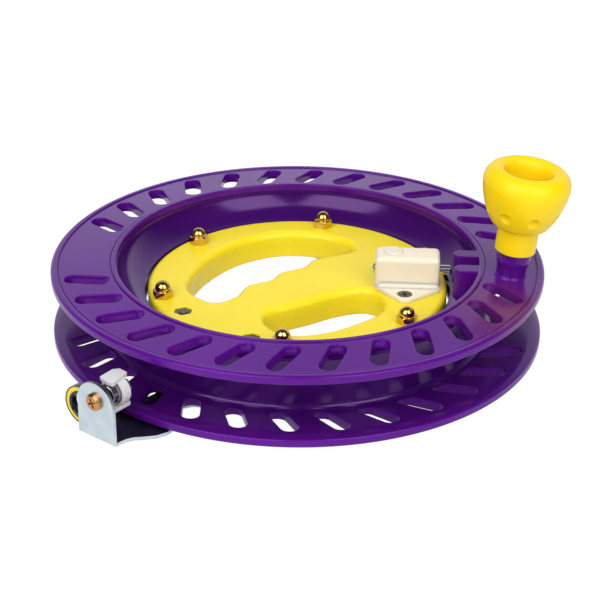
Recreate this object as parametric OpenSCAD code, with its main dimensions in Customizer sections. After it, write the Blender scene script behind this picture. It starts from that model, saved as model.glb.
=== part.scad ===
// Kite line winder: a spool reel that turns on six small bearings round a
// flat palm disc, with a winding knob, a sliding lock pin and a line guide.
// The origin is on the spin axis, at the middle plane of the bearings.
// +Z points up along the spin axis, +X along the lock pin.
// The exact build of a round hole needs a plain cylinder, so every bore is one.

/* [Reel] */
// Outer diameter of both flanges
flange_d = 220; // [212:1:236]
// Height of the reel over both flanges
reel_h = 32.9; // [31:0.1:38]
// Thickness of a flange web
web_t = 4.6; // [3:0.1:5]
// Diameter of the drum that the line lies on
drum_d = 170; // [168:0.5:173]
// Inner diameter of the flange lip
lip_d = 162; // [159:0.5:166]
// Height of the rim bead over the web
bead_rise = 0.45; // [0.2:0.05:0.8]
// Fall of a flange face from lip to rim
dish = 1.5; // [0:0.1:2]
// Height of the lip over the face beside it
lip_rise = 0.6; // [0.2:0.1:1]
// Radius of the round corner between drum and web
drum_fillet = 3; // [1:0.5:5]

/* [Flange slots] */
// Circle that the slots lie on, as a radius
slot_ring_r = 95; // [94:0.1:97]
// Length of a slot over its round ends
slot_len = 20.4; // [14:0.1:20.5]
// Width of a slot
slot_w = 7.6; // [5:0.1:8.5]
// Angle between a slot and the radial line
slot_skew = 27; // [0:1:35]

/* [Winding knob] */
// Angle of the knob post round the reel
post_angle = -6; // [-8:1:8]
// Outward lean of the post
post_lean = 6; // [0:1:8]
// Diameter of the post foot
post_d = 13; // [11:0.5:15]
// Diameter of the post collar
collar_d = 15.5; // [14:0.5:17]
// Height of the post from the web to the collar face
post_h = 11.9; // [9:0.1:14]
// Diameter of the spindle that the knob turns on
spindle_d = 8; // [7:0.1:9]
// Largest diameter of the knob
knob_d = 38.2; // [34:0.5:42]
// Height of the knob
knob_h = 38.5; // [34:0.5:44]
// Diameter of the knob neck
neck_d = 18; // [17:0.1:20]
// Radial running clearance of the knob on its spindle
knob_clear = 0.06; // [0.03:0.01:0.1]

/* [Palm disc] */
// Diameter of the palm disc
palm_d = 134.6; // [131.5:0.1:135]
// Thickness of the two palm plates together
palm_t = 12.6; // [11.5:0.1:13.5]
// Corner radius of the hand openings
grip_round = 2.6; // [1.5:0.1:3]
// Corner radius of the hand openings on the finger side
finger_round = 0.7; // [0.3:0.1:3]
// Corner radius of the disc's rim
rim_round = 2.2; // [1:0.1:3]

/* [Bearings] */
// Circle that the six bearings lie on, as a radius
bearing_ring_r = 61.8; // [61:0.1:62.5]
// Angle of the first bearing
bearing_phase = 22; // [20:1:24]
// Outer diameter of a bearing
bearing_d = 16; // [13:0.5:16.5]
// Bore diameter of a bearing
bearing_bore = 5; // [4:0.5:5]
// Width of a bearing
bearing_w = 5; // [4:0.5:5]
// Running clearance between bearings and race
race_clear = 0.1; // [0.03:0.01:0.15]
// Depth of the race groove in the drum
race_depth = 1.1; // [0.6:0.1:1.6]

/* [Acorn nuts and bolts] */
// Width across flats of an acorn nut
nut_af = 8; // [7:0.5:8.5]
// Height of an acorn nut
nut_h = 7.4; // [7:0.1:9]
// Clearance of a fastener in its hole
bolt_clear = 0.1; // [0.05:0.01:0.15]

/* [Lock] */
// Diameter of the sliding pin
pin_d = 4.5; // [4:0.1:5]
// Height of the pin axis above the palm disc
pin_rise = 7.6; // [6.8:0.1:8]
// Radial clearance of the pin in its block
pin_clear = 0.04; // [0.02:0.01:0.05]
// Width of the gap between the stop ribs
notch_w = 8; // [6:0.1:10]
// Width of a stop rib
rib_w = 7.3; // [5:0.1:9]
// Gap between the drawn pin tip and the ribs
pin_gap = 0.5; // [0.5:0.1:1.5]
// Height of the lock block above the palm disc
block_h = 15.6; // [13:0.1:16]

/* [Line guide] */
// Direction of the guide, seen from above
guide_angle = 234.5; // [230:0.5:238]
// Distance from the spin axis to the outer face of the tab
tab_r = 129.5; // [126:0.5:134]
// Thickness of the bracket sheet
sheet_t = 1.5; // [1.2:0.1:2]
// Width of the tab
tab_w = 20; // [17:0.5:24]
// Gap between the bracket and the reel
sheet_gap = 0.4; // [0.3:0.1:3]
// Diameter of the guide roller
roller_d = 9.8; // [8:0.1:10]
// Length of the guide roller
roller_len = 7.6; // [6:0.1:9]
// Outer diameter of the eyelet
eyelet_d = 17.2; // [15:0.1:18]
// Bore of the eyelet insert
eyelet_bore = 10; // [8:0.1:11]

/* [Hidden] */

$fn = 96;
eps = 0.01;

// reel
flange_r = flange_d / 2;
drum_r = drum_d / 2;
lip_r = lip_d / 2;
reel_mid = 0.95;                       // reel middle above the bearing plane
reel_top = reel_mid + reel_h / 2;
reel_bot = reel_mid - reel_h / 2;
web_low = bead_rise + web_t;           // web underside at the rim, below the bead crest
ledge_w = 0.4;                         // drum ledge seen inside the lip
seat_depth = 1.4;                      // top of the drum's spigot below the bead crest
lip_up = dish - bead_rise + lip_rise;  // lip crest over the bead crest
spigot_r = lip_r + 1.5;                // joint line between ring and drum
race_r = bearing_ring_r + bearing_d / 2 + race_clear;
shelf_r = race_r - race_depth;         // inner edge of the bowl
shelf_h = bearing_w / 2 + 2.25;        // half height of the race lips
race_h = bearing_w / 2 + 0.25;
slot_pitch = 12;
slot_wall = 1.1;                       // web kept between a slot and lip or bead
band_in = lip_r + 3;                   // flat web of the flange
band_out = flange_r - 3.8;
root_r = drum_r + drum_fillet;         // where the web leaves the drum
function face(r) = dish * (band_out - r) / (band_out - band_in) - bead_rise;
root_low = web_t - face(root_r);       // web underside at the drum
slot_reach = ((slot_len - slot_w) * cos(slot_skew) + slot_w) / 2;
slot_in = max(slot_ring_r - slot_reach, band_in + slot_wall);
slot_out = min(slot_ring_r + slot_reach, band_out - slot_wall);
slot_mid_r = (slot_in + slot_out) / 2;
slot_cut_w = min(slot_w, slot_out - slot_in);
slot_run = (slot_out - slot_in - slot_cut_w) / cos(slot_skew);
web_top = reel_top + face(slot_mid_r); // upper face at the knob post
rib_top = reel_top + lip_up - 0.25;

// knob
spindle_r = spindle_d / 2;
floor_h = 26;                          // recess floor above the knob foot
knob_gap = 0.3;                        // end play of the knob
knob_bore_r = spindle_r + knob_clear;
screw4_r = 1.9;                        // shank of the small screws
washer_t = 1;
dimple_at = 21;                        // angle of the first dimple

// palm disc
palm_r = palm_d / 2;
palm_top = palm_t / 2;
rim_gap = 1.4;                         // radial gap between disc and race lips
ear_r = 4.2;                           // disc material round each bolt
free_r = min(bearing_ring_r, palm_r - 4.25) - bearing_d / 2;
hole_scale = free_r / 53.8;            // the outlines below are drawn for 53.8
// each bearing's angle from the first, set round the openings and screws
bearing_turn = [0, 60, 120.3, 177, 245.5, 301];
bolt_r = bearing_bore / 2 - 0.03;
bolt_hole_r = bolt_r + bolt_clear;
pocket_r = bearing_d / 2 + 0.7;
boss_r = bearing_bore / 2 + 1.2;
hex_h = 3.8;

// lock
pin_r = pin_d / 2;
pin_z = palm_top + pin_rise;
rib_in = max(shelf_r, palm_r + rim_gap) + 0.8;   // inner end of the ribs
block_x0 = 34.5;
block_x1 = 64;
block_foot = 2;
block_half = 6.9;                      // half width of the raised housing
block_edge = 1.2;                      // broken edge of the housing
block_side = 5.5;                      // half width of the foot at its ends
block_wide = 8;
boss_x = 42.7;
boss_r2 = 4.2;
pin_tip = rib_in - pin_gap;
pin_tail = block_x0 - 0.7;             // drawn end of the pin
pin_len = pin_tip - pin_tail;
pin_travel = 6;                        // between the two detent grooves
groove_w = 0.8;
groove_d = 0.45;
ball_r = 1.5;
well_r = 1.9;
well_top = palm_top + block_h + 0.1;
tip_x = 48.3;
tip_y = 20.8;
csk_y = 14.2;

// guide
sheet_top = reel_bot - sheet_gap;       // foot under the rim and outside it
sheet_bot = sheet_top - sheet_t;
foot_low = lip_up;                      // how far the foot dips under the lip
guide_rise = 17.9;                     // guide axis above the bracket foot
guide_lift = 1.75;                     // guide axis above the tab's own centre
guide_z = sheet_bot + guide_rise;
tab_in = tab_r - sheet_t;
roller_x = tab_in - 4.4 - roller_len;
clip_wall = 1;
clip_x = roller_x - 0.1 - clip_wall;
clip_len = 4.5;
clip_pad = 1.7;                        // thickness of the clip's two pads
nut_t = 2.6;
nut_x = clip_x - nut_t - 0.1;
guide_screw_in = nut_x - 0.3;          // inner end of the guide screw
ramp_x = lip_r - 4.5;                  // foot of the ramp, inside the lower lip
ramp_w = tab_w / 2 + 11.5;             // half width of the ramp
dip_x = lip_r + 5.5;                   // where the foot starts to rise, and how far it runs
dip_run = 17;
pad_x0 = palm_r - 17.8;                // pad under the palm disc
pad_x1 = palm_r - 1.3;
guide_hole_r = 2.1;
guide_shank_r = 2;
foot_r = palm_r - 12;
foot_y = 19.45;
pad_top = -palm_top;
pad_bot = pad_top - sheet_t;
nut_seat = palm_top - 3.65;
eye_x = tab_in - 2.4;
eye_y = -10.9;
eye_dz = -6.65;
lug_t = 1.6;
lug_r = 5.4;
eye_wall = 0.5;

// ---------- helpers ----------

// closed smooth curve through points p, n steps a span
function spline(p, n) = [for (i = [0:len(p) - 1]) for (k = [0:n - 1])
    let (a = p[(i + len(p) - 1) % len(p)], b = p[i],
         c = p[(i + 1) % len(p)], d = p[(i + 2) % len(p)], t = k / n)
    0.5 * (2 * b + t * (c - a) + t * t * (2 * a - 5 * b + 4 * c - d)
         + t * t * t * (3 * b - a - 3 * c + d))];

// unit normal of a closed outline at point i, outward when it runs counter-clockwise
function normal(p, i) = let (a = p[(i + len(p) - 1) % len(p)], b = p[(i + 1) % len(p)],
    t = b - a, l = norm(t)) [t[1] / l, -t[0] / l];
function grown(p, g) = [for (i = [0:len(p) - 1]) p[i] + g * normal(p, i)];

// solid through the same outline, grown by g at each height z: layers = [[z, g], ...]
module flared(p, layers) {
    n = len(p);
    m = len(layers);
    rings = [for (l = layers) [for (q = grown(p, l[1])) [q[0], q[1], l[0]]]];
    pts = [for (r = rings) each r];
    sides = [for (j = [0:m - 2]) for (i = [0:n - 1])
        let (a = j * n + i, b = j * n + (i + 1) % n)
        each [[a, a + n, b], [b, a + n, b + n]]];
    polyhedron(points = pts, faces = concat(
        [[for (i = [0:n - 1]) i]],
        sides,
        [[for (i = [n - 1:-1:0]) (m - 1) * n + i]]), convexity = 6);
}

module ring(ro, ri, h, z = 0) {
    translate([0, 0, z]) difference() {
        cylinder(r = ro, h = h);
        translate([0, 0, -1]) cylinder(r = ri, h = h + 2);
    }
}

module hexagon(af, h, z = 0) {
    translate([0, 0, z]) rotate(30) cylinder(r = af / sqrt(3), h = h, $fn = 6);
}

module at_bearings() {
    for (u = bearing_turn) rotate(bearing_phase + u) translate([bearing_ring_r, 0, 0]) children();
}
module at_bearing(i) {
    rotate(bearing_phase + bearing_turn[i]) translate([bearing_ring_r, 0, 0]) children();
}
module at_guide() {
    rotate(guide_angle) children();
}
// along the guide's shaft, with its own z pointing out from the reel
module on_shaft(x) {
    at_guide() translate([x, 0, guide_z]) rotate([0, 90, 0]) children();
}
module at_post() {
    rotate(post_angle) translate([slot_mid_r, 0, web_top]) rotate([0, post_lean, 0]) children();
}

// ---------- reel ----------

// one flange moulding, its bead crest at z = 0 and the drum below it; both
// faces rise evenly from the rim to the lip
module flange_ring() {
    f = flange_r;
    l = lip_r;
    b = bead_rise;
    w = web_low;
    g = face(band_in);                 // face beside the lip
    c = lip_up;                        // crest of the lip
    e = web_t - 1.1;                   // foot of the rim's outer wall
    difference() {
        rotate_extrude($fn = 180) polygon([
            [l, c - 1], [l + 0.1, c - 0.5], [l + 0.35, c - 0.15], [l + 0.8, c], [l + 1.4, c],
            [l + 1.9, c - 0.2], [l + 2.2, g - 0.1], [l + 2.4, g - 0.4], [l + 2.8, g - 0.4],
            [band_in, g],
            [band_out, -b], [f - 3.6, -b - 0.5], [f - 3.1, -b - 0.5], [f - 2.8, -0.3],
            [f - 2.2, 0], [f - 1.2, -0.05], [f - 0.4, -0.35], [f, -1],
            [f, 0.3 - e], [f - 0.4, -e - 0.2], [f - 1.4, -e - 0.8], [band_out, -w],
            [root_r, -root_low], [spigot_r, -root_low], [spigot_r, -seat_depth], [l, -seat_depth]]);
        for (k = [1:28]) if (k != 14 && k != 15)
            rotate(slot_pitch * k + 6) translate([slot_mid_r, 0, -web_low - 1])
                rotate(-slot_skew) {
                    for (s = [-1, 1]) translate([s * slot_run / 2, 0, 0])
                        cylinder(d = slot_cut_w, h = web_low + dish + 2, $fn = 48);
                    translate([-slot_run / 2, -slot_cut_w / 2, 0])
                        cube([slot_run, slot_cut_w, web_low + dish + 2]);
                }
    }
}

module upper_flange() color("#5a2d91") {
    difference() {
        union() {
            translate([0, 0, reel_top]) flange_ring();
            at_post() {
                translate([0, 0, -2.2]) cylinder(d = post_d, h = post_h - 3);
                translate([0, 0, -0.7]) cylinder(r1 = post_d / 2 + 1, r2 = post_d / 2, h = 1.5);
                translate([0, 0, post_h - 6.2]) cylinder(d1 = post_d, d2 = collar_d, h = 1.6);
                translate([0, 0, post_h - 4.6]) cylinder(d1 = collar_d, d2 = collar_d - 0.5, h = 4.6);
                cylinder(r = spindle_r, h = post_h + knob_gap + floor_h + 0.3);
            }
        }
        at_post() translate([0, 0, post_h + floor_h - 12]) cylinder(r = screw4_r + bolt_clear, h = 20);
    }
}

module lower_flange() color("#5a2d91")
    translate([0, 0, reel_bot]) rotate([180, 0, 0]) flange_ring();

module drum() color("#4b1f86") {
    t = reel_top - root_low;
    b = reel_bot + root_low;
    st = reel_top - seat_depth;
    sb = reel_bot + seat_depth;
    ri = lip_r - ledge_w;
    a = ri - shelf_r;
    fr = drum_fillet;
    rib_z = shelf_h - 0.8;
    rotate_extrude($fn = 180) polygon(concat(
        [for (i = [0:12]) let (u = i * 7.5) [shelf_r + a * cos(u), st - (st - shelf_h) * sin(u)]],
        [[shelf_r, race_h], [race_r, race_h], [race_r, -race_h], [shelf_r, -race_h]],
        [for (i = [12:-1:0]) let (u = i * 7.5) [shelf_r + a * cos(u), sb - (sb + shelf_h) * sin(u)]],
        [[spigot_r - 0.05, sb], [spigot_r - 0.05, b], [drum_r + fr, b]],
        [for (i = [1:5]) let (u = i * 15) [drum_r + fr - fr * sin(u), b + fr - fr * cos(u)]],
        [[drum_r, b + fr], [drum_r, t - fr]],
        [for (i = [5:-1:1]) let (u = i * 15) [drum_r + fr - fr * sin(u), t - fr + fr * cos(u)]],
        [[drum_r + fr, t], [spigot_r - 0.05, t], [spigot_r - 0.05, st]]));
    // the two stop ribs that the lock pin enters between
    intersection() {
        for (s = [-1, 1]) translate([0, s * (notch_w + rib_w) / 2, 0]) {
            translate([rib_in + rib_w / 2, -rib_w / 2, rib_z]) cube([20, rib_w, rib_top - rib_z]);
            translate([rib_in + rib_w / 2, 0, rib_z]) cylinder(d = rib_w, h = rib_top - rib_z, $fn = 48);
        }
        cylinder(r = lip_r - 0.02, h = 60, $fn = 180);
        union() {
            cylinder(r = lip_r - ledge_w + 0.3, h = 60, $fn = 180);
            translate([0, 0, st + 0.02]) cylinder(r = lip_r, h = 60, $fn = 180);
        }
    }
}

module knob_washer() color("#c9ced2") at_post()
    ring(6.6, screw4_r + bolt_clear, washer_t, post_h + knob_gap + floor_h + 0.3);

module knob_screw() color("#b9bec4") at_post() {
    z = post_h + knob_gap + floor_h + 0.3 + washer_t;
    difference() {
        union() {
            translate([0, 0, z]) cylinder(r = 3.8, h = 1.5);
            translate([0, 0, z + 1.5]) cylinder(r1 = 3.8, r2 = 2.2, h = 1);
        }
        for (q = [0, 90]) rotate(q) translate([-2.2, -0.4, z + 1]) cube([4.4, 0.8, 3]);
    }
    translate([0, 0, z - 11]) cylinder(r = screw4_r, h = 11 + eps);
}

module winding_knob() color("#ffe12e") at_post() translate([0, 0, post_h + knob_gap]) {
    r = knob_d / 2;
    h = knob_h;
    n = neck_d / 2;
    difference() {
        rotate_extrude($fn = 96) polygon([
            [knob_bore_r, 0], [n - 0.5, 0], [n, 0.5], [n, 11.3], [n + 0.9, 11.5],
            [r * 0.62, 12.3], [r * 0.695, 13.9], [r * 0.765, 16.2], [r * 0.85, 19.8],
            [r * 0.92, 23.6], [r * 0.97, 27.4], [r * 0.995, h - 8.2], [r, h - 6.6], [r * 0.99, h - 5],
            [r * 0.955, h - 3.2], [r * 0.89, h - 1.5], [r * 0.81, h - 0.5], [r * 0.72, h],
            [r * 0.64, h - 0.4], [r * 0.585, h - 1.4], [r * 0.56, h - 2.8],
            [r * 0.54, h - 5], [r * 0.52, floor_h + 1], [r * 0.49, floor_h], [knob_bore_r, floor_h]]);
        for (i = [0:7]) rotate(45 * i + dimple_at) translate([r * 0.83 + 1.7, 0, 19])
            sphere(r = 3, $fn = 24);
    }
}

// ---------- palm disc ----------

// upper hand opening, palm side
function upper_hole() = spline([[-48, -9.5], [-36.8, -22.6], [-27.4, -17], [-22.5, -5],
    [-12.8, 1.5], [-8.8, 9.6], [1, 16], [5.6, 24.4], [14.4, 29.6], [22.8, 34.8],
    [20.6, 44.3], [5.5, 51.3], [-14, 50.2], [-32.5, 36.6], [-45.5, 12.5]], 5);
// lower hand opening, finger side
function lower_hole() = spline([[-12.3, -34.5], [-10.6, -42.6], [-3.8, -50.4], [4, -51.5],
    [12.6, -48.9], [20.9, -44.2], [29.3, -37], [36.9, -28.8], [39.4, -20], [37.3, -11],
    [31.5, -6.8], [24.2, -8.2], [15.4, -13], [6.8, -19.5], [-1.8, -25], [-9.2, -29.6]], 5);

module hand_holes(z0, z1, round_low, round_high) {
    g = round_low ? finger_round : grip_round;
    arc = [0, 22.5, 45, 67.5, 90];
    low = round_low
        ? concat([[z0 - 1, g]], [for (u = arc) [z0 + g * (1 - cos(u)), g * (1 - sin(u))]])
        : [[z0 - 1, 0]];
    high = round_high
        ? concat([for (i = [4:-1:0]) [z1 - g * (1 - cos(arc[i])), g * (1 - sin(arc[i]))]], [[z1 + 1, g]])
        : [[z1 + 1, 0]];
    for (p = [upper_hole(), lower_hole()]) flared(hole_scale * p, concat(low, high));
}

module plate_holes() {
    at_bearings() {
        translate([0, 0, -10]) cylinder(r = bolt_hole_r, h = 20);
        difference() {
            translate([0, 0, -race_h]) cylinder(r = pocket_r, h = 2 * race_h);
            translate([0, 0, bearing_w / 2]) cylinder(r = boss_r, h = 3);
            translate([0, 0, -bearing_w / 2 - 3]) cylinder(r = boss_r, h = 3);
        }
        // the pocket is open at the rim, so that the bearing reaches the race
        translate([2, -pocket_r, -race_h]) cube([10, 2 * pocket_r, 2 * race_h]);
    }
    at_guide() for (s = [-1, 1]) translate([foot_r, s * foot_y, 0]) {
        translate([0, 0, -10]) cylinder(r = guide_hole_r, h = 20);
        hexagon(7.3, 10, nut_seat);
    }
    for (s = [-1, 1]) translate([tip_x, s * csk_y, -2.6])
        cylinder(r = screw4_r + bolt_clear, h = 20);
}

// one plate as drawn upwards from the parting plane: a disc, an ear for each
// bolt that the disc doesn't reach, and room for the race lips at the rim
module plate_body() difference() {
    q = rim_round;
    union() {
        rotate_extrude($fn = 180) polygon(concat([[0, 0], [palm_r, 0]],
            [for (u = [0:15:90]) [palm_r - q + q * cos(u), palm_top - q + q * sin(u)]],
            [[0, palm_top]]));
        at_bearings() translate([0, 0, eps]) cylinder(r = ear_r, h = palm_top - 1.3);
    }
    ring(palm_r + 20, shelf_r - rim_gap, shelf_h + 2.2, -1);
}

module upper_palm_plate() color("#ffe12e") difference() {
    plate_body();
    hand_holes(0, palm_top, false, true);
    plate_holes();
}

module lower_palm_plate() color("#ffe12e") difference() {
    mirror([0, 0, 1]) plate_body();
    hand_holes(-palm_top, 0, true, false);
    plate_holes();
}

module axle_bolts() color("#b9a15a") at_bearings() {
    hexagon(nut_af, 3.5, -palm_top - 3.5);
    translate([0, 0, -palm_top - eps]) cylinder(r = bolt_r, h = palm_t + 5 + eps);
}

module acorn_nuts() color("#d9a63a") at_bearings() translate([0, 0, palm_top]) difference() {
    union() {
        intersection() {
            hexagon(nut_af, hex_h);
            cylinder(r1 = nut_af / sqrt(3) + hex_h * 1.1, r2 = nut_af / 2 + 0.12, h = hex_h);
        }
        cylinder(r = nut_h - hex_h - 0.6, h = hex_h + 0.6);
        translate([0, 0, hex_h + 0.6]) sphere(r = nut_h - hex_h - 0.6, $fn = 48);
    }
    translate([0, 0, -1]) cylinder(r = bolt_r + 0.02, h = 6.4);
}

// ---------- bearings ----------

module bearing_inner_rings() color("#c2c7cc") at_bearings()
    rotate_extrude($fn = 64) polygon(concat(
        [[bearing_bore / 2, -bearing_w / 2], [bearing_bore / 2 + 1.55, -bearing_w / 2]],
        [for (u = [-60:20:60]) [bearing_bore / 2 + 2.38 - 1.3 * cos(u), 1.3 * sin(u)]],
        [[bearing_bore / 2 + 1.55, bearing_w / 2], [bearing_bore / 2, bearing_w / 2]]));

module bearing_balls() color("#d5d9dd") at_bearings()
    for (k = [0:6]) rotate(k * 360 / 7) translate([bearing_bore / 2 + 2.38, 0, 0])
        sphere(r = 1.22, $fn = 24);

module outer_ring() color("#c2c7cc") {
    o = bearing_d / 2;
    m = bearing_bore / 2 + 2.38;
    w = bearing_w / 2;
    rotate_extrude($fn = 64) polygon(concat(
        [[o - 0.2, -w], [o, -w + 0.2], [o, w - 0.2], [o - 0.2, w]],
        [[m - 0.62, w - 0.1], [m - 0.62, w - 0.45], [o - 1.2, w - 0.45]],
        [for (u = [60:-20:-60]) [m + 1.3 * cos(u), 1.3 * sin(u)]],
        [[o - 1.2, -w + 0.45], [m - 0.62, -w + 0.45], [m - 0.62, -w + 0.1]]));
}
module bearing_outer_1() at_bearing(0) outer_ring();
module bearing_outer_2() at_bearing(1) outer_ring();
module bearing_outer_3() at_bearing(2) outer_ring();
module bearing_outer_4() at_bearing(3) outer_ring();
module bearing_outer_5() at_bearing(4) outer_ring();
module bearing_outer_6() at_bearing(5) outer_ring();

// ---------- lock ----------

module lock_block() color("#f6efe0") difference() {
    y = block_half;
    c = block_edge;
    a = block_side;
    w = block_wide;
    union() {
        translate([0, 0, palm_top]) linear_extrude(block_foot) polygon([
            [block_x0, -a], [tip_x - 1.6, -tip_y + 1.1], [tip_x, -tip_y + 0.4], [tip_x + 1.8, -tip_y + 1.1],
            [block_x1, -w], [block_x1, w],
            [tip_x + 1.8, tip_y - 1.1], [tip_x, tip_y - 0.4], [tip_x - 1.6, tip_y - 1.1], [block_x0, a]]);
        // raised housing, its long edges broken
        translate([block_x0 + 0.4, 0, palm_top + block_foot - eps]) rotate([90, 0, 90])
            linear_extrude(block_x1 - block_x0 - 0.8) polygon([
                [-y - 0.5, 0], [-y, 0.6], [-y, block_h - block_foot - c],
                [-y + c * 0.3, block_h - block_foot - c * 0.3],
                [-y + c, block_h - block_foot], [y - c, block_h - block_foot],
                [y - c * 0.3, block_h - block_foot - c * 0.3],
                [y, block_h - block_foot - c], [y, 0.6], [y + 0.5, 0]]);
        translate([boss_x, 1.2, palm_top + block_h - 1]) cylinder(r = boss_r2, h = 1.8);
    }
    translate([block_x0 - 5, 0, pin_z]) rotate([0, 90, 0]) cylinder(r = pin_r + pin_clear, h = 40);
    translate([boss_x, 0, pin_z]) cylinder(r = well_r, h = well_top - pin_z);
    for (s = [-1, 1]) translate([tip_x, s * csk_y, palm_top]) {
        translate([0, 0, -1]) cylinder(r = screw4_r + bolt_clear, h = 5);
        translate([0, 0, block_foot - 1.9]) cylinder(r1 = screw4_r + bolt_clear, r2 = 3.45, h = 1.91);
    }
}

module lock_pin() color("#c9ced2") translate([pin_tail, 0, pin_z]) rotate([0, 90, 0]) {
    g1 = boss_x - pin_tail;            // groove that holds the pin drawn
    g0 = g1 - pin_travel;              // groove that holds it in the notch
    w = groove_w;
    d = groove_d;
    rotate_extrude($fn = 64) polygon([
        [0, 0], [pin_r - 0.5, 0], [pin_r, 0.5],
        [pin_r, g0 - w], [pin_r - d, g0], [pin_r, g0 + w],
        [pin_r, g1 - w], [pin_r - d, g1], [pin_r, g1 + w],
        [pin_r, pin_len - 0.9], [pin_r - 0.3, pin_len - 0.3], [pin_r - 0.9, pin_len], [0, pin_len]]);
}

module block_screws() color("#6b6a66") for (s = [-1, 1]) translate([tip_x, s * csk_y, palm_top]) {
    difference() {
        translate([0, 0, block_foot - 1.85]) cylinder(r1 = screw4_r, r2 = 3.25, h = 1.8);
        for (q = [20, 110]) rotate(q) translate([-2, -0.35, block_foot - 1.1]) cube([4, 0.7, 3]);
    }
    translate([0, 0, -8.6]) cylinder(r = screw4_r, h = block_foot - 1.8 + 8.6);
}

module detent_ball() color("#d5d9dd") translate([boss_x, 0, pin_z + pin_r + ball_r + 0.05])
    sphere(r = ball_r, $fn = 32);

// the coil drawn as stacked turns with one tie, so that it is one solid
module detent_spring() color("#a9adb2") {
    z0 = pin_z + pin_r + 2 * ball_r + 0.1;
    z1 = well_top - 0.05;
    n = 4;
    p = (z1 - z0) / n;
    for (i = [0:n - 1]) translate([boss_x, 0, z0 + (i + 0.5) * p]) rotate_extrude($fn = 48)
        translate([well_r - 0.5, 0]) circle(r = min(0.32, p * 0.48), $fn = 16);
    translate([boss_x + well_r - 0.62, -0.15, z0 + p * 0.4]) cube([0.24, 0.3, z1 - z0 - p * 0.8]);
}

// ---------- line guide ----------

// half outline of the bracket foot, along the guide, from the tab to the ramp, waisted under the slots
// as [share of the way from ramp to tab, share of the ramp's extra width over the tab's]
function foot_edge() = concat([[tab_in - 1.6, tab_w / 2]],
    [for (q = [[0.911, 0.043], [0.842, 0.2], [0.782, 0.452], [0.713, 0.696], [0.624, 0.835], [0.54, 0.8],
               [0.485, 0.62], [0.44, 0.3], [0.4, 0], [0.35, -0.16], [0.19, -0.16], [0.12, 0],
               [0.08, 0.3], [0.05, 0.72], [0, 1]])
        [ramp_x + (tab_in - ramp_x) * q[0], tab_w / 2 + (ramp_w - tab_w / 2) * q[1]]]);

module guide_bracket() color("#c6d7e6") difference() {
    rx = ramp_x;
    low_top = sheet_top - foot_low;
    low_bot = low_top - sheet_t;
    e = foot_edge();
    at_guide() {
        // foot under the reel, which dips to pass under the lip
        intersection() {
            translate([0, 0, low_bot - 1]) linear_extrude(sheet_t + foot_low + 2) polygon(concat(
                [for (p = e) p], [for (i = [len(e) - 1:-1:0]) [e[i][0], -e[i][1]]]));
            rotate([90, 0, 0]) translate([0, 0, -ramp_w - 1]) linear_extrude(2 * ramp_w + 2) polygon([
                [tab_in, sheet_bot], [tab_in, sheet_top], [dip_x + dip_run, sheet_top],
                [dip_x, low_top], [rx, low_top], [rx, low_bot], [dip_x + 0.1, low_bot],
                [dip_x + dip_run + 0.1, sheet_bot]]);
        }
        // ramp up into the bowl, and the pad under the palm disc
        rotate([90, 0, 0]) translate([0, 0, -ramp_w]) linear_extrude(2 * ramp_w) polygon([
            [rx + 0.5, low_bot], [rx + 0.5, low_top], [rx, low_top], [pad_x1 + 0.4, pad_top],
            [pad_x1 - 1, pad_top], [pad_x1 - 1, pad_bot], [pad_x1 - 0.4, pad_bot], [rx - 0.7, low_bot]]);
        translate([0, 0, pad_bot]) linear_extrude(sheet_t) polygon([
            [pad_x1, -ramp_w], [pad_x1, ramp_w], [pad_x1 - 2.5, ramp_w + 1.3],
            [pad_x0 + 3, ramp_w + 1.3], [pad_x0, ramp_w - 1.5], [pad_x0, -ramp_w + 1.5],
            [pad_x0 + 3, -ramp_w - 1.3], [pad_x1 - 2.5, -ramp_w - 1.3]]);
        // bend and tab
        translate([0, tab_w / 2, sheet_bot]) rotate([90, 0, 0]) linear_extrude(tab_w) polygon(concat(
            [[tab_in - 1.7, 0], [tab_r - 1.6, 0]],
            [for (u = [15:15:75]) [tab_r - 1.6 + 1.6 * sin(u), 1.6 - 1.6 * cos(u)]],
            [[tab_r, 1.6], [tab_r, guide_rise - guide_lift], [tab_in, guide_rise - guide_lift], [tab_in, sheet_t],
             [tab_in - 1.7, sheet_t]]));
        translate([tab_in, 0, guide_z - guide_lift]) rotate([0, 90, 0]) cylinder(d = tab_w, h = sheet_t);
    }
    on_shaft(tab_in - 1) cylinder(r = guide_hole_r, h = sheet_t + 2);
    at_guide() for (s = [-1, 1]) translate([foot_r, s * foot_y, pad_bot - 1]) cylinder(r = guide_hole_r, h = sheet_t + 2);
}

module bracket_screws() color("#b9bec4") at_guide() for (s = [-1, 1]) translate([foot_r, s * foot_y, 0]) {
    difference() {
        translate([0, 0, pad_bot - 2.2]) cylinder(r = 3.6, h = 2.2);
        for (q = [0, 90]) rotate(q) translate([-2, -0.35, pad_bot - 3]) cube([4, 0.7, 2]);
    }
    translate([0, 0, pad_bot - eps]) cylinder(r = guide_shank_r - 0.02, h = nut_seat + 3.4 - pad_bot);
}

module bracket_nuts() color("#8d8f8c") at_guide() for (s = [-1, 1]) translate([foot_r, s * foot_y, nut_seat])
    difference() {
        hexagon(7, 3);
        translate([0, 0, -1]) cylinder(r = guide_shank_r, h = 5);
    }

module guide_screw() color("#c67a4e") {
    on_shaft(tab_r) difference() {
        union() {
            cylinder(r = 3.8, h = 1.2);
            translate([0, 0, 1.2]) cylinder(r1 = 3.8, r2 = 2.9, h = 0.7);
        }
        for (q = [25, 115]) rotate(q) translate([-2.2, -0.4, 0.9]) cube([4.4, 0.8, 3]);
    }
    on_shaft(guide_screw_in) cylinder(r = guide_shank_r, h = tab_r - guide_screw_in + eps);
}

module guide_nut() color("#b9bec4") on_shaft(nut_x) difference() {
    hexagon(7, nut_t);
    translate([0, 0, -1]) cylinder(r = guide_shank_r + 0.02, h = 5);
}

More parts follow.
